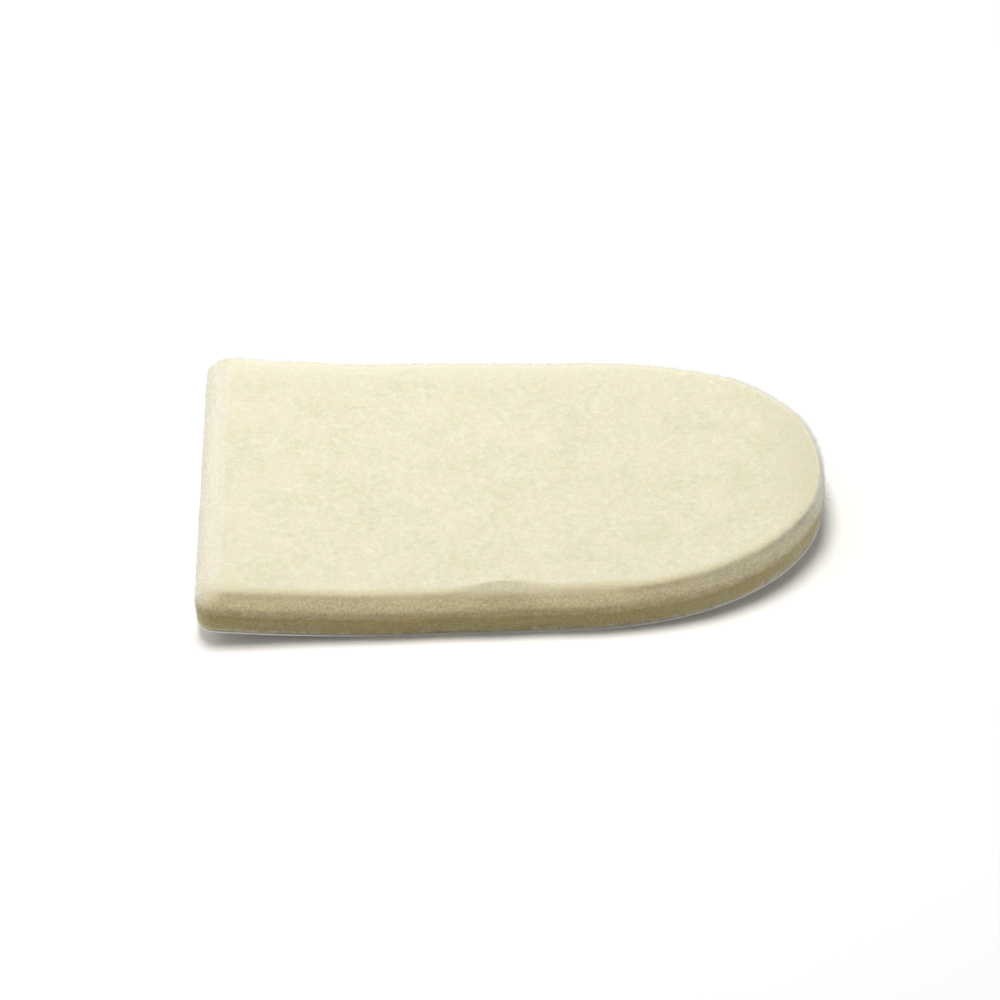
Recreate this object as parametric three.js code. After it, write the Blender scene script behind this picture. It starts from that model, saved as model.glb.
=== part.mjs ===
// Heel pad: a cushion cut from thick wool felt, with a paper-covered sticky underside
// Millimetres, +Z up, +X towards the round end, Z = 0 on the surface that the pad lies on
import * as THREE from "three";

// Size of the whole pad, felt and backing together
const padLength = 88.5;
const padWidth = 58.2;
const padThickness = 6.35;

// Plan outline: straight end with two rounded corners, sides that draw in a little, and a
// round end
const sideTaper = 0.051;
const cornerRadius = 2.8;
const roundLength = 36.3;
const roundExponent = 2.228;

// Edge: how far its upper half slopes outward on its way down, along the sides, at the tip of
// the round end and at the straight end
const sideRun = 1.6;
const tipRun = 0.8;
const endRun = 2.53;

// Curl: how far each end rises from the surface, and the stretch between them that rests on it,
// which starts this far from the straight end
const endCurl = 2.05;
const tipCurl = 1.82;
const restStart = 31.7;
const restLength = 16.8;

// Backing paper, and the layer of adhesive that keeps it off the felt
const paperThickness = 0.25;
const adhesiveThickness = 0.1;

// Edge profile from the top down: height as a share of the pad's thickness, inset from the
// ridge as a share of sideRun and tipRun, and at the straight end of endRun, and how much of
// the lip's waves reaches down to the row
const edgeProfile = [
  { name: "top border", height: 1.0, inset: 1.35, endInset: 1.15, wave: 0.9 },
  { name: "lip", height: 0.985, inset: 1.07, endInset: 0.96, wave: 1.0 },
  { name: "below the lip", height: 0.93, inset: 0.86, endInset: 0.66, wave: 0.3 },
  { name: "upper slope", height: 0.84, inset: 0.58, endInset: 0.34, wave: 0.1 },
  { name: "slope", height: 0.74, inset: 0.29, endInset: 0.13, wave: 0.03 },
  { name: "above the ridge", height: 0.66, inset: 0.1, endInset: 0.03, wave: 0.0 },
  { name: "ridge", height: 0.58, inset: 0.0, endInset: 0.0, wave: 0.0 },
  { name: "below the ridge", height: 0.47, inset: 0.05, endInset: 0.01, wave: 0.0 },
  { name: "undercut", height: 0.28, inset: 0.17, endInset: 0.03, wave: 0.0 },
];
const underside = { inset: 0.25, endInset: 0.05, wave: 0.0 };

// Waves of the upper lip: side +1 (left) or -1 (right), place and reach as shares of the
// length, inset as a share of sideRun, negative where the lip stands further out
const lipWaves = [
  { side: -1, place: 0.468, reach: 0.1, inset: 1.2 },
  { side: -1, place: 0.6, reach: 0.09, inset: 0.28 },
  { side: -1, place: 0.73, reach: 0.09, inset: -0.25 },
  { side: 1, place: 0.14, reach: 0.06, inset: -0.16 },
  { side: 1, place: 0.23, reach: 0.06, inset: 0.23 },
  { side: 1, place: 0.37, reach: 0.07, inset: -0.2 },
  { side: 1, place: 0.59, reach: 0.12, inset: 0.2 },
  { side: 1, place: 0.87, reach: 0.07, inset: -0.3 },
];

// How finely each stretch of half the outline is divided
const roundSteps = 22;
const sideSteps = 16;
const cornerSteps = 5;
const halfSteps = roundSteps + sideSteps + cornerSteps;

const halfWidth = padWidth / 2;

// A point of half the outline from the tip (0) to the straight end (halfSteps), before the taper
function plainOutline(step) {
  const straightStart = padLength - roundLength;
  if (step <= roundSteps) {
    const angle = (step / roundSteps) * (Math.PI / 2);
    const power = 2 / roundExponent;
    return {
      x: straightStart + roundLength * Math.max(Math.cos(angle), 0) ** power,
      y: halfWidth * Math.sin(angle) ** power,
    };
  }
  if (step <= roundSteps + sideSteps) {
    const share = (step - roundSteps) / sideSteps;
    return { x: straightStart + (cornerRadius - straightStart) * share, y: halfWidth };
  }
  const angle = ((step - roundSteps - sideSteps) / cornerSteps) * (Math.PI / 2);
  return {
    x: cornerRadius - cornerRadius * Math.sin(angle),
    y: halfWidth - cornerRadius + cornerRadius * Math.cos(angle),
  };
}

// The same point on the left (+1) or right (-1) side, with the sides drawn in towards the tip
function outlinePoint(step, side) {
  const { x, y } = plainOutline(step);
  return new THREE.Vector2(x, side * y * (1 - (sideTaper * x) / padLength));
}

// Outward direction of the outline, square to the line between two close points
function outwardDirection(step, side) {
  if (step === 0) return new THREE.Vector2(1, 0);
  if (step === halfSteps) return new THREE.Vector2(-1, 0);
  const nudge = 0.05;
  const along = outlinePoint(step + nudge, side).sub(outlinePoint(step - nudge, side));
  return new THREE.Vector2(along.y, -along.x).multiplyScalar(side).normalize();
}

// The whole outline, counterclockwise from the tip: each point, its outward direction and side
const outline = [];
for (let step = 0; step <= halfSteps; step += 1) {
  outline.push({ point: outlinePoint(step, 1), outward: outwardDirection(step, 1), side: 1 });
}
for (let step = halfSteps; step >= 1; step -= 1) {
  outline.push({ point: outlinePoint(step, -1), outward: outwardDirection(step, -1), side: -1 });
}

// How far the pad rises from the surface at a distance x from the straight end
function curl(x) {
  const tipCurlLength = padLength - restStart - restLength;
  const intoEnd = Math.max(0, 1 - x / restStart);
  const intoTip = Math.max(0, 1 - (padLength - x) / tipCurlLength);
  return endCurl * intoEnd ** 2 + tipCurl * intoTip ** 2;
}

// The lip's waves at a place along the length, as a share of the sides' run
function lipWave(side, share) {
  let inset = 0;
  for (const wave of lipWaves) {
    const distance = Math.abs(share - wave.place) / wave.reach;
    if (wave.side === side && distance < 1) {
      inset += wave.inset * Math.cos((distance * Math.PI) / 2) ** 2;
    }
  }
  return inset;
}

// One ring of the edge: the outline scaled to what the insets leave of it, at a height
function edgeRing(height, { inset, endInset, wave }) {
  const fromEnd = endInset * endRun;
  const lengthShare = (padLength - fromEnd - inset * tipRun) / padLength;
  const widthShare = (halfWidth - inset * sideRun) / halfWidth;
  return outline.map(({ point, outward, side }) => {
    const waveInset = wave * lipWave(side, point.x / padLength) * sideRun;
    const x = fromEnd + point.x * lengthShare - outward.x * waveInset;
    const y = point.y * widthShare - outward.y * waveInset;
    return new THREE.Vector3(x - padLength / 2, y, height + curl(x));
  });
}

// A closed body from a stack of rings, top first, its two faces closed by rungs from side to side
function stackedBody(rings) {
  const count = outline.length;
  const positions = rings.flat().flatMap((vertex) => vertex.toArray());
  const faces = [];
  for (let ring = 0; ring + 1 < rings.length; ring += 1) {
    for (let index = 0; index < count; index += 1) {
      const next = (index + 1) % count;
      const [upper, lower] = [ring * count, (ring + 1) * count];
      faces.push(upper + index, lower + index, lower + next);
      faces.push(upper + index, lower + next, upper + next);
    }
  }
  const bottom = (rings.length - 1) * count;
  const opposite = (index) => (count - index) % count;
  for (let index = 0; index < halfSteps; index += 1) {
    const rung = [index, index + 1, opposite(index + 1), opposite(index)];
    faces.push(rung[0], rung[1], rung[2]);
    faces.push(bottom + rung[0], bottom + rung[2], bottom + rung[1]);
    if (index > 0) {
      faces.push(rung[0], rung[2], rung[3]);
      faces.push(bottom + rung[0], bottom + rung[3], bottom + rung[2]);
    }
  }
  const geometry = new THREE.BufferGeometry();
  geometry.setAttribute("position", new THREE.Float32BufferAttribute(positions, 3));
  geometry.setIndex(faces);
  geometry.computeVertexNormals();
  return geometry;
}

// Felt pad: the full edge profile, down to the adhesive
const feltBottom = paperThickness + adhesiveThickness;
const feltRings = edgeProfile.map((row) => edgeRing(row.height * padThickness, row));
feltRings.push(edgeRing(feltBottom, underside));
const felt = new THREE.Mesh(
  stackedBody(feltRings),
  new THREE.MeshStandardMaterial({ color: 0xebe4c8, roughness: 0.95, metalness: 0 }),
);
felt.name = "felt_pad";

// Backing paper: a thin sheet with the outline of the felt's underside
const paperRings = [edgeRing(paperThickness, underside), edgeRing(0, underside)];
const paper = new THREE.Mesh(
  stackedBody(paperRings),
  new THREE.MeshStandardMaterial({ color: 0xe6e6e0, roughness: 0.6, metalness: 0 }),
);
paper.name = "backing_paper";

const heelPad = new THREE.Group();
heelPad.add(felt, paper);

export default heelPad;
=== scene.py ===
import math

import bpy
import numpy as np
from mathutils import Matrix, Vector


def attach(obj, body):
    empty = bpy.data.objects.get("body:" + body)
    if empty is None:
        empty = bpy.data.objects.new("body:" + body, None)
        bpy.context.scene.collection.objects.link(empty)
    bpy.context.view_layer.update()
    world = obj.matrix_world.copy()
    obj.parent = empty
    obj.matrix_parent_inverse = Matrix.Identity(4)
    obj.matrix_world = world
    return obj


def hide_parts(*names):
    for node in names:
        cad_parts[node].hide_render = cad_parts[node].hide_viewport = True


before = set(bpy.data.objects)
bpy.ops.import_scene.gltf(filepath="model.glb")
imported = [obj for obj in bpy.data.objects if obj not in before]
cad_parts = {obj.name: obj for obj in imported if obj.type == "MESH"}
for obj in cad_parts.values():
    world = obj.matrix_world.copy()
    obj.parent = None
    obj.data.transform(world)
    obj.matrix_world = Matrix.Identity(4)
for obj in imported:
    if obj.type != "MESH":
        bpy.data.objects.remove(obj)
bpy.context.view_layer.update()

mm = 0.001                                  # every size below is in millimetres, Blender's are metres


# Shape of the pad

pad = {
    "length": 88.5, "width": 58.2, "thickness": 6.35,
    "sideTaper": 0.051,                     # share of the width lost from the straight end to the tip
    "corner": 2.8,                          # radius at the straight end
    "roundLength": 36.3, "roundExponent": 2.228,
    "sideRun": 1.6, "tipRun": 0.8, "endRun": 2.53,  # how far the upper edge slopes out on its way down
    "endCurl": 2.05, "tipCurl": 1.82,       # how far the two ends rise
    "restStart": 31.7, "restLength": 16.8,  # the stretch between them that lies flat
}

# Edge from the top down: height as a share of the thickness, inset as a share of sideRun and
# tipRun, inset at the straight end as a share of endRun, and the share of the lip's waves
edgeRows = np.array([
    # height, inset, end inset, wave
    (1.000, 2.60, 1.80, 0.00),
    (1.000, 1.55, 1.25, 0.80),
    (0.985, 1.07, 0.96, 1.00),
    (0.930, 0.86, 0.66, 0.30),
    (0.840, 0.58, 0.34, 0.10),
    (0.740, 0.29, 0.13, 0.03),
    (0.660, 0.10, 0.03, 0.00),
    (0.600, 0.02, 0.00, 0.00),
    (0.550, 0.00, 0.00, 0.00),
    (0.470, 0.05, 0.01, 0.00),
    (0.380, 0.11, 0.02, 0.00),
    (0.280, 0.17, 0.03, 0.00),
    (0.160, 0.22, 0.04, 0.00),
    (0.043, 0.25, 0.05, 0.00),
])

# Waves of the lip: side of the pad, place and reach as shares of the length, inset as a share of sideRun
lipWaves = [
    (-1, 0.468, 0.10, 1.20), (-1, 0.60, 0.09, 0.28), (-1, 0.73, 0.09, -0.12), (1, 0.14, 0.06, -0.16),
    (1, 0.23, 0.06, 0.23), (1, 0.37, 0.07, -0.20), (1, 0.59, 0.12, 0.20), (1, 0.87, 0.07, -0.30),
]


def halfOutline(count):
    # round end x = a cos(t)^(2/n), y = b sin(t)^(2/n), then a straight side, then a quarter circle,
    # with every y times 1 - taper * x / length
    straight, half, corner = pad["length"] - pad["roundLength"], pad["width"] / 2, pad["corner"]
    power = 2 / pad["roundExponent"]
    turn = np.linspace(0, math.pi / 2, count)
    x = np.concatenate([
        straight + pad["roundLength"] * np.cos(turn).clip(0) ** power,
        np.linspace(straight, corner, count)[1:],
        corner - corner * np.sin(turn[1:]),
    ])
    y = np.concatenate([
        half * np.sin(turn) ** power,
        np.full(count - 1, half),
        half - corner + corner * np.cos(turn[1:]),
    ])
    return x, y * (1 - pad["sideTaper"] * x / pad["length"])


def outlineRing(sideSteps, endSteps):
    # the whole outline at even steps of each of four runs, which meet where it faces halfway
    # between along and across: side +Y, straight end, side -Y, round end
    runCount = 1500                         # points of each run of half the outline
    halfX, halfY = halfOutline(runCount)
    x, y = np.concatenate([halfX, halfX[::-1]]), np.concatenate([halfY, -halfY[::-1]])
    along = np.concatenate([[0], np.cumsum(np.hypot(np.diff(x), np.diff(y)))])
    whole = along[-1]

    def placeFacing(angle, first, last):
        # where a stretch faces this way, without the ends of its run, which are nearly straight
        facing = np.arctan2(-np.gradient(x), np.gradient(y))[first:last]
        return np.interp(angle, facing, along[first:last])

    leftShoulder = placeFacing(math.pi / 4, 10, runCount - 100)
    leftCorner = placeFacing(math.pi * 3 / 4, 2 * runCount + 10, 3 * runCount - 20)
    rightCorner = placeFacing(-math.pi * 3 / 4, 3 * runCount + 10, 4 * runCount - 20)
    rightShoulder = placeFacing(-math.pi / 4, 5 * runCount + 100, 6 * runCount - 20)
    corners = [leftShoulder, leftCorner, rightCorner, rightShoulder, whole + leftShoulder]
    stops = np.concatenate([
        np.linspace(first, last, steps, endpoint=False)
        for first, last, steps in zip(corners, corners[1:], (sideSteps, endSteps, sideSteps, endSteps))
    ]) % whole
    ring = np.stack([np.interp(stops, along, x), np.interp(stops, along, y)], axis=1)
    ahead, behind = np.roll(ring, -1, axis=0), np.roll(ring, 1, axis=0)
    tangent = (ahead - behind) / np.linalg.norm(ahead - behind, axis=1)[:, None]
    outward = np.stack([tangent[:, 1], -tangent[:, 0]], axis=1)
    return ring, outward


def drawnIn(ring, inset, endInset):
    # the outline scaled to what the insets leave: x by 1 - (end inset + tip inset) / length and
    # moved by the end inset, y by 1 - side inset / half the width
    fromEnd = endInset * pad["endRun"]
    x = fromEnd + ring[:, 0] * (1 - (fromEnd + inset * pad["tipRun"]) / pad["length"])
    y = ring[:, 1] * (1 - inset * pad["sideRun"] * 2 / pad["width"])
    return np.stack([x, y], axis=-1)


def curl(x):
    # the rise from the surface, which grows with the square of the way out from the flat stretch
    tipCurlLength = pad["length"] - pad["restStart"] - pad["restLength"]
    intoEnd = (1 - x / pad["restStart"]).clip(0)
    intoTip = (1 - (pad["length"] - x) / tipCurlLength).clip(0)
    return pad["endCurl"] * intoEnd ** 2 + pad["tipCurl"] * intoTip ** 2


def lipWave(ring):
    # each wave is inset * cos^2 of a quarter turn times its distance over its reach
    total = np.zeros(len(ring))
    for side, place, reach, inset in lipWaves:
        distance = np.abs(ring[:, 0] / pad["length"] - place) / reach
        here = (np.sign(ring[:, 1]) == side) & (distance < 1)
        total += np.where(here, inset * np.cos(distance * math.pi / 2) ** 2, 0)
    return total


def smoothRows(rows, count):
    # corners cut three times, then even steps along the profile
    for _ in range(3):
        first, last = rows[:-1], rows[1:]
        cut = np.stack([first * 0.75 + last * 0.25, first * 0.25 + last * 0.75], axis=1)
        rows = np.concatenate([rows[:1], cut.reshape(-1, rows.shape[1]), rows[-1:]])
    rise = np.diff(rows[:, 0]) * pad["thickness"]
    step = np.hypot(rise, np.diff(rows[:, 1]) * pad["sideRun"])
    along = np.concatenate([[0], np.cumsum(step)])
    stops = np.linspace(0, along[-1], count)
    return np.stack([np.interp(stops, along, column) for column in rows.T], axis=1)


def coonsPatch(ring, sideSteps, endSteps):
    # (1 - v) * side1(u) + v * side2(u) + (1 - u) * tip(v) + u * end(v) - the corners' bilinear blend
    count = len(ring)
    across = np.arange(endSteps + 1)
    sideIndex = np.arange(sideSteps + 1)
    endIndex = sideSteps + across
    otherSideIndex = (2 * sideSteps + endSteps - sideIndex) % count
    tipIndex = (count - across) % count
    u = (sideIndex / sideSteps)[:, None, None]
    v = (across / endSteps)[None, :, None]
    side, otherSide = ring[sideIndex][:, None], ring[otherSideIndex][:, None]
    tip, end = ring[tipIndex][None], ring[endIndex][None]
    blend = (1 - v) * side + v * otherSide + (1 - u) * tip + u * end
    blend -= (1 - u) * (1 - v) * ring[0] + u * (1 - v) * ring[sideIndex[-1]]
    blend -= (1 - u) * v * ring[tipIndex[-1]] + u * v * ring[endIndex[-1]]
    return blend, sideIndex, endIndex, otherSideIndex, tipIndex


def latticeNoise(points, size, seed):
    # random values on a lattice of this cell size, turned so that its rows don't show, and blended
    # by f * f * (3 - 2 f) in each direction
    cells = 48                              # the lattice repeats after this many
    lattice = np.random.default_rng(seed).uniform(-1, 1, (cells, cells, cells))
    turned = points @ np.array([(0.80, 0.36, -0.48), (-0.60, 0.48, -0.64), (0.0, 0.80, 0.60)]) / size
    cell = np.floor(turned).astype(int)
    blend = turned - cell
    blend = blend * blend * (3 - 2 * blend)
    total = np.zeros(len(points))
    for corner in np.ndindex(2, 2, 2):
        index = (cell + corner) % cells
        weight = np.where(corner, blend, 1 - blend).prod(axis=1)
        total += weight * lattice[index[:, 0], index[:, 1], index[:, 2]]
    return total


def meshNormals(points, quads):
    # each face's cross product of its diagonals, summed at its corners and brought to length 1
    cross = np.cross(points[quads[:, 2]] - points[quads[:, 0]], points[quads[:, 3]] - points[quads[:, 1]])
    normals = np.stack([
        np.bincount(quads.ravel(), np.repeat(cross[:, axis], 4), len(points)) for axis in range(3)
    ], axis=1)
    return normals / np.linalg.norm(normals, axis=1)[:, None].clip(1e-12)


def gridQuads(grid):
    # the faces of a grid of point numbers, each from four neighbours
    return np.stack([grid[:-1, :-1], grid[1:, :-1], grid[1:, 1:], grid[:-1, 1:]], axis=-1).reshape(-1, 4)


def wallQuads(rings):
    # the faces between closed rings of point numbers, from the top ring down
    upper, lower = rings[:-1], rings[1:]
    faces = np.stack([upper, lower, np.roll(lower, -1, axis=1), np.roll(upper, -1, axis=1)], axis=-1)
    return faces.reshape(-1, 4)


def borderRing(grid, indexes, count):
    # the point numbers at a patch's border, in the order of the ring around it
    border = np.empty(count, dtype=int)
    for index, line in zip(indexes, (grid[:, 0], grid[-1, :], grid[:, -1], grid[0, :])):
        border[index] = line
    return border


def buildPiece(name, points, quads, triangles=()):
    # points in millimetres, quads and triangles as index arrays, put in by foreach_set
    triangles = np.asarray(triangles, dtype=int).reshape(-1, 3)
    mesh = bpy.data.meshes.new(name)
    mesh.vertices.add(len(points))
    mesh.vertices.foreach_set("co", (points * mm).astype(np.float32).ravel())
    corners = np.concatenate([quads.ravel(), triangles.ravel()])
    mesh.loops.add(len(corners))
    mesh.loops.foreach_set("vertex_index", corners.astype(np.int32))
    mesh.polygons.add(len(quads) + len(triangles))
    starts = np.concatenate([np.arange(len(quads)) * 4, quads.size + np.arange(len(triangles)) * 3])
    mesh.polygons.foreach_set("loop_start", starts.astype(np.int32))
    mesh.polygons.foreach_set("use_smooth", np.ones(len(starts), dtype=bool))
    mesh.update(calc_edges=True)
    mesh.validate()
    piece = bpy.data.objects.new(name, mesh)
    bpy.context.collection.objects.link(piece)
    return piece


def paintPoints(piece, name, values):
    # a number for each point, which the material reads by name
    attribute = piece.data.attributes.new(name, "FLOAT", "POINT")
    attribute.data.foreach_set("value", np.asarray(values, dtype=np.float32))


# Felt

felt = {
    "sideSteps": 236, "endSteps": 150, "edgeSteps": 26,
    "undulation": (9.0, 0.06),              # size and depth of the surface's swells
    "tufts": (2.3, 0.018), "curls": (0.95, 0.007), "nubs": (0.5, 0.006),  # the same of its roughness
    "edgeRoughness": 2.4, "roughBy": 0.2,   # times as rough as the top, from this share of the edge on
    "lipSize": 3.1, "lipRagged": 0.14,      # size and depth of the lip's small ins and outs
    "tuftSize": 1.0, "lipTufts": 0.11,      # the same of its tufts
    "ridgeSize": 4.5, "ridgeRagged": 0.10,  # and of the ridge
    "smoothFoot": 0.36, "footBlend": 1.2,   # no fuzz this far up from the paper, then more of it
}


def feltSurface():
    # each ring of the edge is the outline drawn in by its row's inset, moved along its outward
    # direction by the waves and the raggedness, at height * thickness + curl, and the top is a
    # Coons patch inside the first ring
    ring, outward = outlineRing(felt["sideSteps"], felt["endSteps"])
    rows = smoothRows(edgeRows, felt["edgeSteps"])
    wave = lipWave(ring) * pad["sideRun"]
    count = len(ring)
    flat = np.column_stack([ring, np.zeros(count)])
    ragged = latticeNoise(flat, felt["lipSize"], seed=5) * felt["lipRagged"]
    ragged += latticeNoise(flat, felt["tuftSize"], seed=7) * felt["lipTufts"]
    bulge = latticeNoise(flat, felt["ridgeSize"], seed=6) * felt["ridgeRagged"]
    height, inset, endInset, waveShare = (column[:, None] for column in rows.T)
    swing = wave + ragged
    follow = np.where(swing < 0, waveShare ** 0.25, waveShare)  # a slope under a bulging lip follows it
    wavy = follow * swing + (1 - waveShare) * bulge
    moved = drawnIn(ring, inset, endInset) - outward[None] * wavy[:, :, None]
    z = height * pad["thickness"] + curl(moved[:, :, 0])
    edge = np.concatenate([moved, z[:, :, None]], axis=2)
    patch, *indexes = coonsPatch(edge[0], felt["sideSteps"], felt["endSteps"])
    patch[:, :, 2] = pad["thickness"] + curl(patch[:, :, 0])
    shares = {
        "endShare": (-outward[:, 0]).clip(0) ** 1.5,
        # painted backlight: how much the edge faces the far side
        "backShare": outward[:, 1].clip(0),
        # painted light: how much the edge faces the tip
        "tipShare": outward[:, 0].clip(0),
        "dipShare": wave.clip(0) / pad["sideRun"],
    }
    return patch, edge, indexes, shares


def feltPiece():
    # point + normal * (swells + tufts + curls + nubs), with the top and the edge as grids, and the
    # underside closed by rungs from side to side and a fan at each end
    patch, edge, indexes, shares = feltSurface()
    sideIndex, endIndex, otherSideIndex, tipIndex = indexes
    lengthwise, across = patch.shape[:2]
    topCount, ringCount, rowCount = lengthwise * across, edge.shape[1], edge.shape[0]
    grid = np.arange(topCount).reshape(lengthwise, across)
    rings = np.concatenate([
        borderRing(grid, indexes, ringCount)[None],
        topCount + np.arange((rowCount - 1) * ringCount).reshape(rowCount - 1, ringCount),
    ])
    points = np.concatenate([patch.reshape(-1, 3), edge[1:].reshape(-1, 3)])
    near, far = rings[-1, sideIndex], rings[-1, otherSideIndex]
    under = np.stack([near[:-1], far[:-1], far[1:], near[1:]], axis=-1)
    quads = np.concatenate([gridQuads(grid), wallQuads(rings), under])
    endFan, tipFan = rings[-1, endIndex], rings[-1, tipIndex]
    triangles = np.concatenate([
        np.stack([endFan[1:-1], np.full(len(endFan) - 2, endFan[0]), endFan[2:]], axis=-1),
        np.stack([np.full(len(tipFan) - 2, tipFan[0]), tipFan[1:-1], tipFan[2:]], axis=-1),
    ])
    rowShare = np.arange(1, rowCount) / (rowCount - 1)
    share = np.concatenate([np.zeros(topCount), np.repeat(rowShare, ringCount)])
    normals = meshNormals(points, quads)
    above = points[:, 2] - curl(points[:, 0])
    free = ((above - felt["smoothFoot"]) / felt["footBlend"]).clip(0, 1)
    swell = latticeNoise(points, felt["undulation"][0], seed=11) * felt["undulation"][1]
    rough = sum(latticeNoise(points, size, seed) * depth for seed, (size, depth) in enumerate(
        (felt["tufts"], felt["curls"], felt["nubs"]), start=12))
    rough *= 1 + (felt["edgeRoughness"] - 1) * (share / felt["roughBy"]).clip(0, 1)
    points = points + normals * ((swell + rough) * free)[:, None]
    points[:, 0] -= pad["length"] / 2
    piece = buildPiece("felt_cushion", points, quads, triangles)
    paintPoints(piece, "edgeShare", share)
    for name, values in shares.items():
        paintPoints(piece, name, np.concatenate([np.zeros(topCount), np.tile(values, rowCount - 1)]))
    return piece, points, quads, normals, share


print("felt surface")
feltCushion, feltPoints, feltQuads, feltNormals, feltShare = feltPiece()


# Fibres that stand out of the felt

fibres = {
    # the band of the felt's edgeShare where they grow, how many, rings of each strand, radius,
    # turn of its heading, length along the surface, arch over it and rise of the loose end. The
    # tone runs from dark to light, by chance over this spread and by backlight at the far side
    "top_fibres": {
        "band": (-1.0, 0.08), "count": 33000, "rings": 1, "seed": 31, "radius": 0.009, "bend": 1.7,
        "length": (0.2, 0.8), "arch": (0.03, 0.05), "rise": (0.0, 0.10), "spread": 1.0, "backlight": 0.0,
        "dark": (0.58, 0.55, 0.40), "light": (0.90, 0.88, 0.76),
    },
    "edge_fibres": {
        "band": (0.32, 0.97), "count": 14000, "rings": 2, "seed": 42, "radius": 0.008, "bend": 1.7,
        "length": (0.3, 1.0), "arch": (0.03, 0.07), "rise": (0.0, 0.25), "spread": 1.0, "backlight": 0.0,
        "dark": (0.40, 0.34, 0.18), "light": (0.80, 0.75, 0.58),
    },
    "lip_fibres": {
        "band": (0.16, 0.40), "count": 33000, "rings": 1, "seed": 52, "radius": 0.010, "bend": 1.7,
        "length": (0.1, 0.5), "arch": (0.0, 0.05), "rise": (0.1, 0.45), "spread": 0.45, "backlight": 1.2,
        "dark": (0.37, 0.31, 0.12), "light": (0.94, 0.89, 0.63),
    },
    "fringe_fibres": {
        "band": (0.20, 0.34), "count": 33000, "rings": 1, "seed": 62, "radius": 0.010, "bend": 1.7,
        "length": (0.1, 0.5), "arch": (0.0, 0.05), "rise": (0.2, 1.1), "spread": 0.45, "backlight": 1.2,
        "dark": (0.37, 0.31, 0.12), "light": (0.94, 0.89, 0.63),
    },
    "loose_hairs": {
        "band": (0.25, 0.97), "count": 700, "rings": 7, "seed": 72, "radius": 0.013, "bend": 0.5,
        "length": (0.5, 2.4), "arch": (0.0, 0.2), "rise": (0.2, 1.6), "spread": 1.0, "backlight": 0.0,
        "dark": (0.60, 0.55, 0.38), "light": (0.86, 0.83, 0.70),
    },
}


strandShape = {
    "corners": 3,                           # of the section
    "rootDepth": 0.03,                      # how far inside the felt it starts
    "overFloor": 0.05,                      # a hair that reaches the floor lies this far over it
    "wiggleShare": 0.3,                     # of the bend
    "wiggleSpeed": (3, 9),                  # radians from root to tip
    "radiusSpread": (0.7, 1.3),
}


def pickRoots(rng, look):
    # random places on the felt's faces within the piece's band, by area, each a blend of the
    # face's four corners with weights (1 - u)(1 - v), u (1 - v), u v and (1 - u) v
    share = feltShare[feltQuads[:, 0]]
    inBand = (share > look["band"][0]) & (share < look["band"][1])
    a, b, c, d = (feltPoints[feltQuads[:, corner]] for corner in range(4))
    area = np.linalg.norm(np.cross(c - a, d - b), axis=1) * inBand
    corners = feltQuads[rng.choice(len(feltQuads), look["count"], p=area / area.sum())]
    u, v = rng.uniform(0, 1, (2, look["count"], 1))
    weights = np.stack([(1 - u) * (1 - v), u * (1 - v), u * v, (1 - u) * v], axis=1)
    return (feltPoints[corners] * weights).sum(axis=1), (feltNormals[corners] * weights).sum(axis=1)


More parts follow.
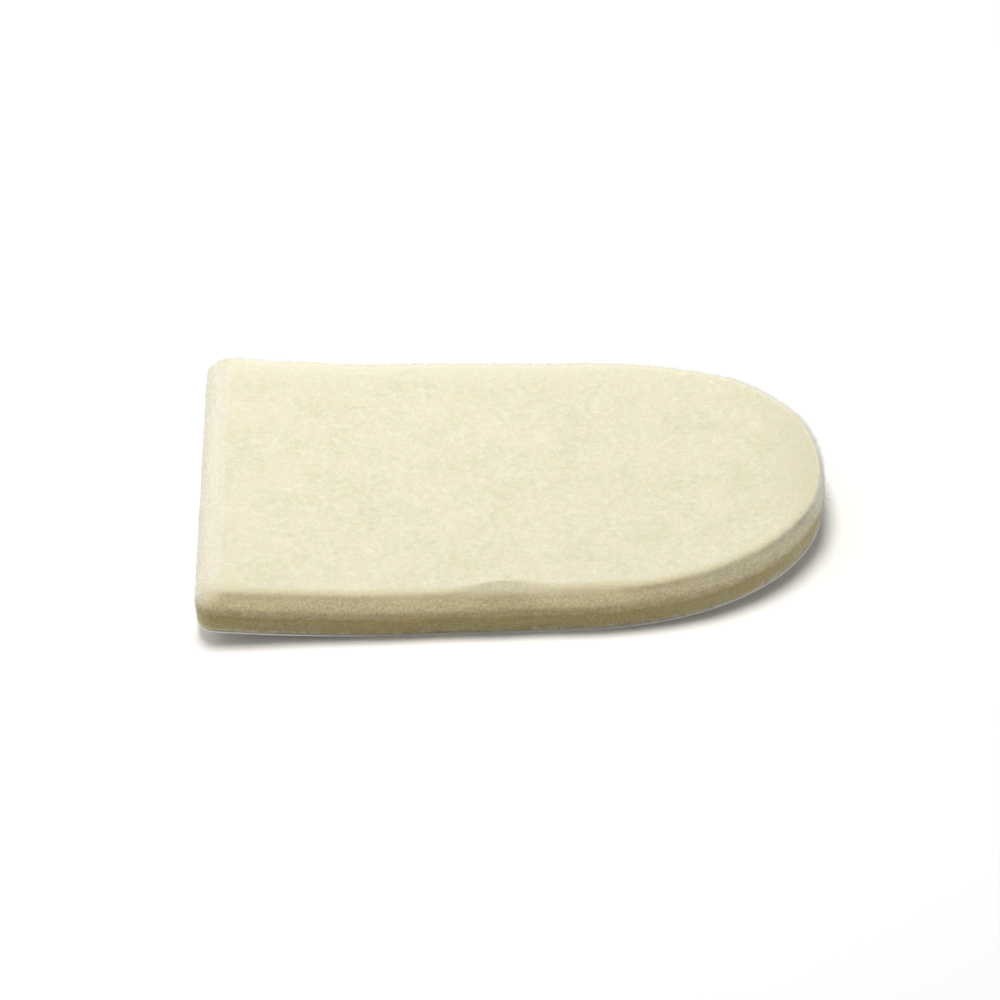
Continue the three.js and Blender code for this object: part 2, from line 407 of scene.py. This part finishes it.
def strandPiece(name, look):
    # each strand runs over the surface on a bending heading: place = root + sum of steps along
    # (cos a, sin a), a = start + bend * t + wiggle * sin(speed * t), raised by
    # arch * sin(pi t) + rise * t from a root a little inside the felt
    rng = np.random.default_rng(look["seed"])
    roots, normals = pickRoots(rng, look)
    count, rings = look["count"], look["rings"]
    t = np.linspace(0, 1, rings + 2)[None]
    reference = np.where(np.abs(normals[:, 2:]) > 0.8, (1.0, 0, 0), (0, 0, 1.0))  # well off the normal
    first = np.cross(reference, normals)
    first /= np.linalg.norm(first, axis=1)[:, None]
    second = np.cross(normals, first)
    start = rng.uniform(-math.pi, math.pi, (count, 1))
    bend = rng.normal(0, look["bend"], (count, 1))
    wiggle = rng.normal(0, look["bend"] * strandShape["wiggleShare"], (count, 1))
    speed = rng.uniform(*strandShape["wiggleSpeed"], (count, 1))
    angle = start + bend * t + wiggle * np.sin(t * speed)
    reach = rng.uniform(*look["length"], (count, 1)) / (rings + 1)
    along = np.cumsum(np.cos(angle) * reach, axis=1) - np.cos(angle[:, :1]) * reach
    aside = np.cumsum(np.sin(angle) * reach, axis=1) - np.sin(angle[:, :1]) * reach
    height = rng.uniform(*look["arch"], (count, 1)) * np.sin(math.pi * t) - strandShape["rootDepth"]
    height = height + rng.uniform(*look["rise"], (count, 1)) * t
    path = (roots[:, None] + first[:, None] * along[..., None] + second[:, None] * aside[..., None]
            + normals[:, None] * height[..., None])
    path[..., 2] = path[..., 2].clip(strandShape["overFloor"])
    run = np.gradient(path, axis=1)
    run /= np.linalg.norm(run, axis=2)[..., None].clip(1e-9)
    acrossRun = np.cross(run, normals[:, None] + 0.01)  # aside, so that it is never along the strand
    acrossRun /= np.linalg.norm(acrossRun, axis=2)[..., None].clip(1e-9)
    upRun = np.cross(acrossRun, run)
    radius = look["radius"] * rng.uniform(*strandShape["radiusSpread"], (count, 1, 1, 1))
    corners = strandShape["corners"]
    turn = np.arange(corners) * 2 * math.pi / corners
    wall = (np.cos(turn)[None, None, :, None] * acrossRun[:, 1:-1, None]
            + np.sin(turn)[None, None, :, None] * upRun[:, 1:-1, None])
    body = path[:, 1:-1, None] + wall * radius
    points = np.concatenate([path[:, :1], body.reshape(count, -1, 3), path[:, -1:]], axis=1)
    ringIndex = 1 + np.arange(rings * corners).reshape(rings, corners)
    tipIndex = rings * corners + 1
    firstTip = np.stack([np.zeros(corners, int), ringIndex[0], np.roll(ringIndex[0], -1)], axis=-1)
    lastTip = np.stack([np.full(corners, tipIndex), np.roll(ringIndex[-1], -1), ringIndex[-1]], axis=-1)
    offset = (np.arange(count) * (tipIndex + 1))[:, None, None]
    quads = (wallQuads(ringIndex)[None] + offset).reshape(-1, 4)
    triangles = (np.concatenate([firstTip, lastTip])[None] + offset).reshape(-1, 3)
    piece = buildPiece(name, points.reshape(-1, 3), quads, triangles)
    paintedBacklight = (normals @ (0.8, 0.9, 0)).clip(0)  # towards the far side and the tip
    # random tone plus painted backlight, lighter toward the far side and the tip
    tone = rng.uniform(0, look["spread"], count) + look["backlight"] * paintedBacklight
    paintPoints(piece, "tone", np.repeat(tone, tipIndex + 1))
    piece.data.normals_split_custom_set_from_vertices(np.repeat(normals, tipIndex + 1, axis=0))
    piece.visible_shadow = False            # wool this fine scatters light as the felt under it does
    return piece


print("fibres")
strands = {name: strandPiece(name, look) for name, look in fibres.items()}


# Backing paper

paper = {
    "thickness": 0.25, "bevel": 0.05,
    "proud": 0.13,                          # how far it stands out past the felt's lower edge
    "sideSteps": 100, "endSteps": 60,
    "shade": (0.91, 0.90, 0.84), "white": (0.95, 0.94, 0.89),
    "mottleSize": 3.0, "grainSize": 0.3,
}


def paperPiece():
    # the felt's lowest outline moved outward by proud, as a rim of four rings with bevelled
    # corners between two Coons patches
    ring, outward = outlineRing(paper["sideSteps"], paper["endSteps"])
    thickness, bevel = paper["thickness"], paper["bevel"]
    rows = np.array([(thickness, bevel), (thickness - bevel, 0), (bevel, 0), (0, bevel)])
    under = drawnIn(ring, *edgeRows[-1, 1:3]) + outward * paper["proud"]
    moved = under[None] - outward[None] * rows[:, 1][:, None, None]
    z = rows[:, 0][:, None] + curl(moved[:, :, 0])
    edge = np.concatenate([moved, z[:, :, None]], axis=2)
    top, *indexes = coonsPatch(edge[0], paper["sideSteps"], paper["endSteps"])
    top[:, :, 2] = thickness + curl(top[:, :, 0])
    bottom, *_ = coonsPatch(edge[-1], paper["sideSteps"], paper["endSteps"])
    bottom[:, :, 2] = curl(bottom[:, :, 0])
    lengthwise, across = top.shape[:2]
    topCount, ringCount = lengthwise * across, len(ring)
    topGrid = np.arange(topCount).reshape(lengthwise, across)
    bottomGrid = topGrid + topCount
    middle = 2 * topCount + np.arange(2 * ringCount).reshape(2, ringCount)
    topBorder = borderRing(topGrid, indexes, ringCount)
    bottomBorder = borderRing(bottomGrid, indexes, ringCount)
    rings = np.stack([topBorder, *middle, bottomBorder])
    points = np.concatenate([top.reshape(-1, 3), bottom.reshape(-1, 3), edge[1:3].reshape(-1, 3)])
    points[:, 0] -= pad["length"] / 2
    facingDown = gridQuads(bottomGrid)[:, [0, 3, 2, 1]]
    quads = np.concatenate([gridQuads(topGrid), facingDown, wallQuads(rings)])
    return buildPiece("paper_backing", points, quads)


print("paper")
paperBacking = paperPiece()


# Materials

class Wire:                                 # a shader socket that plain arithmetic works on
    def __init__(self, finish, socket):
        self.finish, self.socket = finish, socket

    def maths(self, operation, first, second):
        return self.finish.node("ShaderNodeMath", {"operation": operation}, {0: first, 1: second})

    def __add__(self, other):
        return self.maths("ADD", self, other)

    def __sub__(self, other):
        return self.maths("SUBTRACT", self, other)

    def __rsub__(self, other):
        return self.maths("SUBTRACT", other, self)

    def __mul__(self, other):
        return self.maths("MULTIPLY", self, other)

    __radd__, __rmul__ = __add__, __mul__


class Finish:                               # one material and its nodes
    def __init__(self, name):
        self.material = bpy.data.materials.new(name)
        self.material.use_nodes = True
        self.tree = self.material.node_tree
        self.shader = self.tree.nodes["Principled BSDF"]

    def node(self, kind, settings=None, inputs=None, output=0):
        # any node, from its type, its settings and the values or links of its sockets
        made = self.tree.nodes.new(kind)
        for key, value in (settings or {}).items():
            if key == "stops":
                ramp = made.color_ramp
                while len(ramp.elements) < len(value):
                    ramp.elements.new(0.5)
                for element, (place, colour) in zip(ramp.elements, value):
                    element.position, element.color = place, (*colour, 1)
            else:
                setattr(made, key, value)
        for key, value in (inputs or {}).items():
            self.put(made.inputs[key], value)
        return Wire(self, made.outputs[output])

    def put(self, socket, value):
        # a link, a colour or a plain value
        if isinstance(value, Wire):
            self.tree.links.new(value.socket, socket)
        elif isinstance(value, tuple) and len(value) == 3 and socket.type == "RGBA":
            socket.default_value = (*value, 1)
        else:
            socket.default_value = value

    def place(self):                        # object coordinates
        return self.node("ShaderNodeTexCoord", output=3)

    def axis(self, where, number):          # 0 along the pad, 1 across it
        return self.node("ShaderNodeSeparateXYZ", {}, {0: where}, output=number)

    def noise(self, where, size, detail=2.0, rough=0.5, distortion=0.0):
        # 0 to 1, in blotches of this size in millimetres
        return self.node("ShaderNodeTexNoise", {}, {
            "Vector": where, "Scale": 1 / (size * mm),
            "Detail": detail, "Roughness": rough, "Distortion": distortion,
        })

    def attribute(self, name):              # a number that paintPoints put on the mesh
        return self.node("ShaderNodeAttribute", {"attribute_name": name}, output=2)

    def ramp(self, value, *stops):          # a colour from places and colours, straight between them
        return self.node("ShaderNodeValToRGB", {"stops": stops}, {0: value})

    def mix(self, factor, first, second, blend="MIX"):
        # first * (1 - factor) + second * factor, or second multiplied on by the factor
        return self.node("ShaderNodeMix", {"data_type": "RGBA", "blend_type": blend},
                         {0: factor, 6: first, 7: second}, output=2)

    def set(self, values):                  # the shader's own sockets, by name
        for name, value in values.items():
            self.put(self.shader.inputs[name], value)
        return self.material


feltLook = {
    # size of each pattern
    "blotchSize": 1.1, "driftSize": 6.0, "warmSize": 1.7, "spotSize": 0.8, "fleckSize": 0.33, "napSize": 0.2,
    # colours of the top, the last of them a painted shade for the round end
    "cream": (0.71, 0.678, 0.505), "white": (0.76, 0.732, 0.58), "straw": (0.66, 0.628, 0.445),
    "peach": (0.72, 0.665, 0.505), "amber": (0.76, 0.655, 0.40), "tipShade": (0.63, 0.595, 0.435),
    # colours of the edge from the lip down: the cut wool's own browns, with painted shade under the lip,
    # under the ridge and on the lower band, painted light on the slope and painted floor bounce toward the
    # foot
    "lip": (0.60, 0.54, 0.33), "shadeUnderLip": (0.66, 0.58, 0.37), "slope": (0.84, 0.76, 0.49),
    "ridge": (0.62, 0.535, 0.32), "shadeUnderRidge": (0.44, 0.36, 0.15), "cut": (0.49, 0.41, 0.195),
    "low": (0.56, 0.485, 0.265), "bottom": (0.84, 0.78, 0.57),
    # colours of its upper half at the straight end, the far side, the tip and the lip's deep wave; those of
    # the far side and the tip are painted light, that of the deep wave painted shade
    "end": (0.73, 0.69, 0.585), "back": (0.775, 0.745, 0.59), "tip": (0.84, 0.79, 0.60),
    "dipShade": (0.48, 0.41, 0.22),
}


def feltMaterial():
    # mottled cream with straw, peach and amber fibres, with painted backlight that pales the far side and
    # painted shade that dulls the top toward the tip, and on the cut edge a ramp of browns down the
    # edgeShare that carries painted light and shade, all multiplied by fine flecks
    finish = Finish("felt_wool")
    where = finish.place()
    blotch = finish.noise(where, feltLook["blotchSize"], detail=3.0, rough=0.6)
    drift = finish.noise(where, feltLook["driftSize"], detail=2.0)
    warm = finish.noise(where, feltLook["warmSize"], detail=2.0, rough=0.55, distortion=0.4)
    spots = finish.noise(where, feltLook["spotSize"], detail=2.0, rough=0.5)
    fleck = finish.noise(where, feltLook["fleckSize"], detail=4.0, rough=0.7)
    mottle = blotch * 0.65 + drift * 0.35
    pale = finish.ramp(
        mottle, (0.38, feltLook["straw"]), (0.5, feltLook["cream"]), (0.62, feltLook["white"]))
    blush = finish.ramp(warm * 0.6 + drift * 0.4, (0.46, (0, 0, 0)), (0.60, (0.8, 0.8, 0.8)))
    tinted = finish.mix(blush, pale, feltLook["peach"])
    speckles = finish.ramp(spots, (0.63, (0, 0, 0)), (0.73, (0.7, 0.7, 0.7)))
    tinted = finish.mix(speckles, tinted, feltLook["amber"])
    share = finish.attribute("edgeShare") + (blotch - 0.5) * 0.16
    along = finish.axis(where, 0) * (2 / (pad["length"] * mm))  # 1 at the tip
    across = finish.axis(where, 1) * (2 / (pad["width"] * mm))  # 1 at the far side
    # painted backlight: the top paler toward the far side
    backlitMask = finish.ramp(across, (0.74, (0, 0, 0)), (0.93, (0.8, 0.8, 0.8)))
    tinted = finish.mix(backlitMask, tinted, feltLook["back"])
    # painted shade: the top darker toward the round end, where the light falls off
    tipShadeMask = finish.ramp(along, (0.78, (0, 0, 0)), (1.0, (1, 1, 1)))
    tinted = finish.mix(tipShadeMask, tinted, feltLook["tipShade"])
    # painted light and shade down the edge: darker under the lip and the ridge, lighter on the slope and
    # toward the foot
    edge = finish.ramp(share, (0.21, feltLook["lip"]), (0.28, feltLook["shadeUnderLip"]),
                       (0.37, feltLook["slope"]), (0.53, feltLook["slope"]),
                       (0.63, feltLook["ridge"]), (0.71, feltLook["shadeUnderRidge"]), (0.81, feltLook["cut"]),
                       (0.94, feltLook["low"]), (1.0, feltLook["bottom"]))
    upperEdge = finish.ramp(share, (0.55, (1, 1, 1)), (0.66, (0, 0, 0)))
    edge = finish.mix(finish.attribute("endShare") * upperEdge, edge, feltLook["end"])
    # painted shade in the lip's deep wave, which faces up and would catch more light than the slope
    nearLip = finish.ramp(share, (0.28, (1, 1, 1)), (0.48, (0.35, 0.35, 0.35)))
    edge = finish.mix(finish.attribute("dipShare") * upperEdge * nearLip, edge, feltLook["dipShade"])
    # painted backlight on the far side's edge
    edge = finish.mix(finish.attribute("backShare") * upperEdge, edge, feltLook["back"])
    # painted light on the tip's edge below the lip
    belowLip = finish.ramp(share, (0.2, (0.25, 0.25, 0.25)), (0.4, (1, 1, 1)))
    edge = finish.mix(finish.attribute("tipShare") * upperEdge * belowLip, edge, feltLook["tip"])
    onEdgeMask = finish.ramp(share, (0.12, (0, 0, 0)), (0.23, (1, 1, 1)))
    colour = finish.mix(onEdgeMask, tinted, edge)
    contrast = finish.ramp(share, (0.25, (0.33, 0.33, 0.33)), (0.4, (1, 1, 1)))
    flecked = finish.ramp(fleck, (0.38, (0.72, 0.68, 0.59)), (0.62, (1, 1, 1)))
    colour = finish.mix(contrast, colour, flecked, "MULTIPLY")
    nap = finish.noise(where, feltLook["napSize"], detail=4.0, rough=0.75, distortion=0.3)
    bump = finish.node("ShaderNodeBump", {}, {"Strength": 0.35, "Distance": 0.05 * mm, "Height": nap})
    return finish.set({
        "Base Color": colour, "Roughness": 0.95, "Normal": bump, "Specular IOR Level": 0.1,
        "Sheen Weight": 0.3, "Sheen Roughness": 0.5,
        "Subsurface Weight": 1.0, "Subsurface Radius": (1.0, 0.8, 0.5), "Subsurface Scale": 0.9 * mm,
    })


def fibreMaterial(name, look):
    # each strand's own tone between the piece's dark and light, lighter as painted backlight on strands that
    # face the far side
    finish = Finish(name)
    colour = finish.ramp(finish.attribute("tone"), (0.0, look["dark"]), (1.0, look["light"]))
    return finish.set({
        "Base Color": colour, "Roughness": 0.9, "Specular IOR Level": 0.1,
        "Subsurface Weight": 1.0, "Subsurface Radius": (1.0, 0.9, 0.8), "Subsurface Scale": 0.1 * mm,
    })


def paperMaterial():
    # smooth off-white with a faint mottle and grain
    finish = Finish("paper_release")
    where = finish.place()
    mottle = finish.noise(where, paper["mottleSize"], detail=3.0)
    colour = finish.ramp(mottle, (0.3, paper["shade"]), (0.7, paper["white"]))
    grain = finish.noise(where, paper["grainSize"], detail=2.0)
    bump = finish.node("ShaderNodeBump", {}, {"Strength": 0.15, "Distance": 0.02 * mm, "Height": grain})
    return finish.set({"Base Color": colour, "Roughness": 0.45, "Normal": bump})


print("materials")
feltCushion.data.materials.append(feltMaterial())
for name, strand in strands.items():
    strand.data.materials.append(fibreMaterial(name, fibres[name]))
paperBacking.data.materials.append(paperMaterial())

for piece in (feltCushion, *strands.values(), paperBacking):
    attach(piece, "root")
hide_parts("felt_pad")
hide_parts("backing_paper")


# Floor, lights and camera

studio = {
    "floorSize": 6000.0, "cloudSize": 900.0,
    "floorShade": (0.94, 0.94, 0.935), "floorWhite": (0.95, 0.95, 0.945), "paintedBounce": (0.95, 0.93, 0.895),
    "key": {"tilt": 13.5, "azimuth": 206.0, "distance": 500.0, "size": 270.0, "power": 2.48},
    "fill": {"tilt": 42.0, "azimuth": 262.0, "distance": 330.0, "size": 240.0, "power": 0.24},
    "rim": {"tilt": 72.0, "azimuth": 80.0, "distance": 400.0, "size": 200.0, "power": 0.15},
    "skyStrength": 0.16,
}

view = {
    "pitch": 37.49, "yaw": 1.861,           # degrees down from level, and round to the left
    "distance": 514.46, "lens": 130.2,
    "target": (-1.89, -2.005, 3.0),
}


def floorPiece():
    # a flat grid z = 0
    steps = np.linspace(-0.5, 0.5, 13) * studio["floorSize"]
    x, y = np.meshgrid(steps, steps, indexing="ij")
    points = np.stack([x.ravel(), y.ravel(), np.zeros(x.size)], axis=1)
    grid = np.arange(x.size).reshape(x.shape)
    return buildPiece("floor", points, gridQuads(grid))


def floorMaterial():
    # white with faint clouds, and a painted warm bounce of light from the felt around the pad
    finish = Finish("studio_floor")
    where = finish.place()
    cloud = finish.noise(where, studio["cloudSize"], detail=1.0)
    colour = finish.ramp(cloud, (0.3, studio["floorShade"]), (0.7, studio["floorWhite"]))
    distance = finish.node("ShaderNodeVectorMath", {"operation": "LENGTH"}, {0: where}, output=1)
    # painted light: the felt's warm bounce on the floor near the pad
    paintedBounce = finish.ramp(distance * 10, (0.50, (1, 1, 1)), (0.75, (0, 0, 0)))  # from 50 to 75 mm
    colour = finish.mix(paintedBounce, colour, studio["paintedBounce"])
    return finish.set({"Base Color": colour, "Roughness": 0.6, "Specular IOR Level": 0.2})


def aim(thing, place, target):
    # a lamp or camera looks along its own -Z
    thing.location = place
    thing.rotation_euler = (Vector(target) - Vector(place)).to_track_quat("-Z", "Y").to_euler()


def lamp(name):
    # an area light that looks at the pad, tilted from overhead towards an azimuth that is counted
    # from the camera's side, so 180 is behind the pad and 270 is on its left
    look = studio[name]
    data = bpy.data.lights.new(name, "AREA")
    data.shape, data.size, data.energy = "DISK", look["size"] * mm, look["power"]
    light = bpy.data.objects.new(name, data)
    bpy.context.collection.objects.link(light)
    tilt, azimuth = math.radians(look["tilt"]), math.radians(look["azimuth"])
    aside = math.sin(tilt)
    direction = Vector((aside * math.sin(azimuth), -aside * math.cos(azimuth), math.cos(tilt)))
    aim(light, direction * look["distance"] * mm, (0, 0, 0))


def sky():
    # an even white light from all round
    world = bpy.data.worlds.new("studio_sky")
    world.use_nodes = True
    background = world.node_tree.nodes["Background"]
    background.inputs["Color"].default_value = (1, 1, 1, 1)
    background.inputs["Strength"].default_value = studio["skyStrength"]
    bpy.context.scene.world = world


def padCamera():
    # the camera stands at the target plus its distance, back along pitch and yaw
    pitch, yaw = math.radians(view["pitch"]), math.radians(view["yaw"])
    back = Vector((-math.sin(yaw) * math.cos(pitch), -math.cos(yaw) * math.cos(pitch), math.sin(pitch)))
    camera = bpy.data.objects.new("camera", bpy.data.cameras.new("camera"))
    camera.data.lens = view["lens"]
    camera.data.clip_start, camera.data.clip_end = 0.01, 50
    bpy.context.collection.objects.link(camera)
    target = Vector(view["target"]) * mm
    aim(camera, target + back * view["distance"] * mm, target)
    bpy.context.scene.camera = camera


print("studio")
floor = floorPiece()
floor.data.materials.append(floorMaterial())
for name in ("key", "fill", "rim"):
    lamp(name)
sky()
padCamera()
bpy.context.scene.view_settings.view_transform = "Standard"
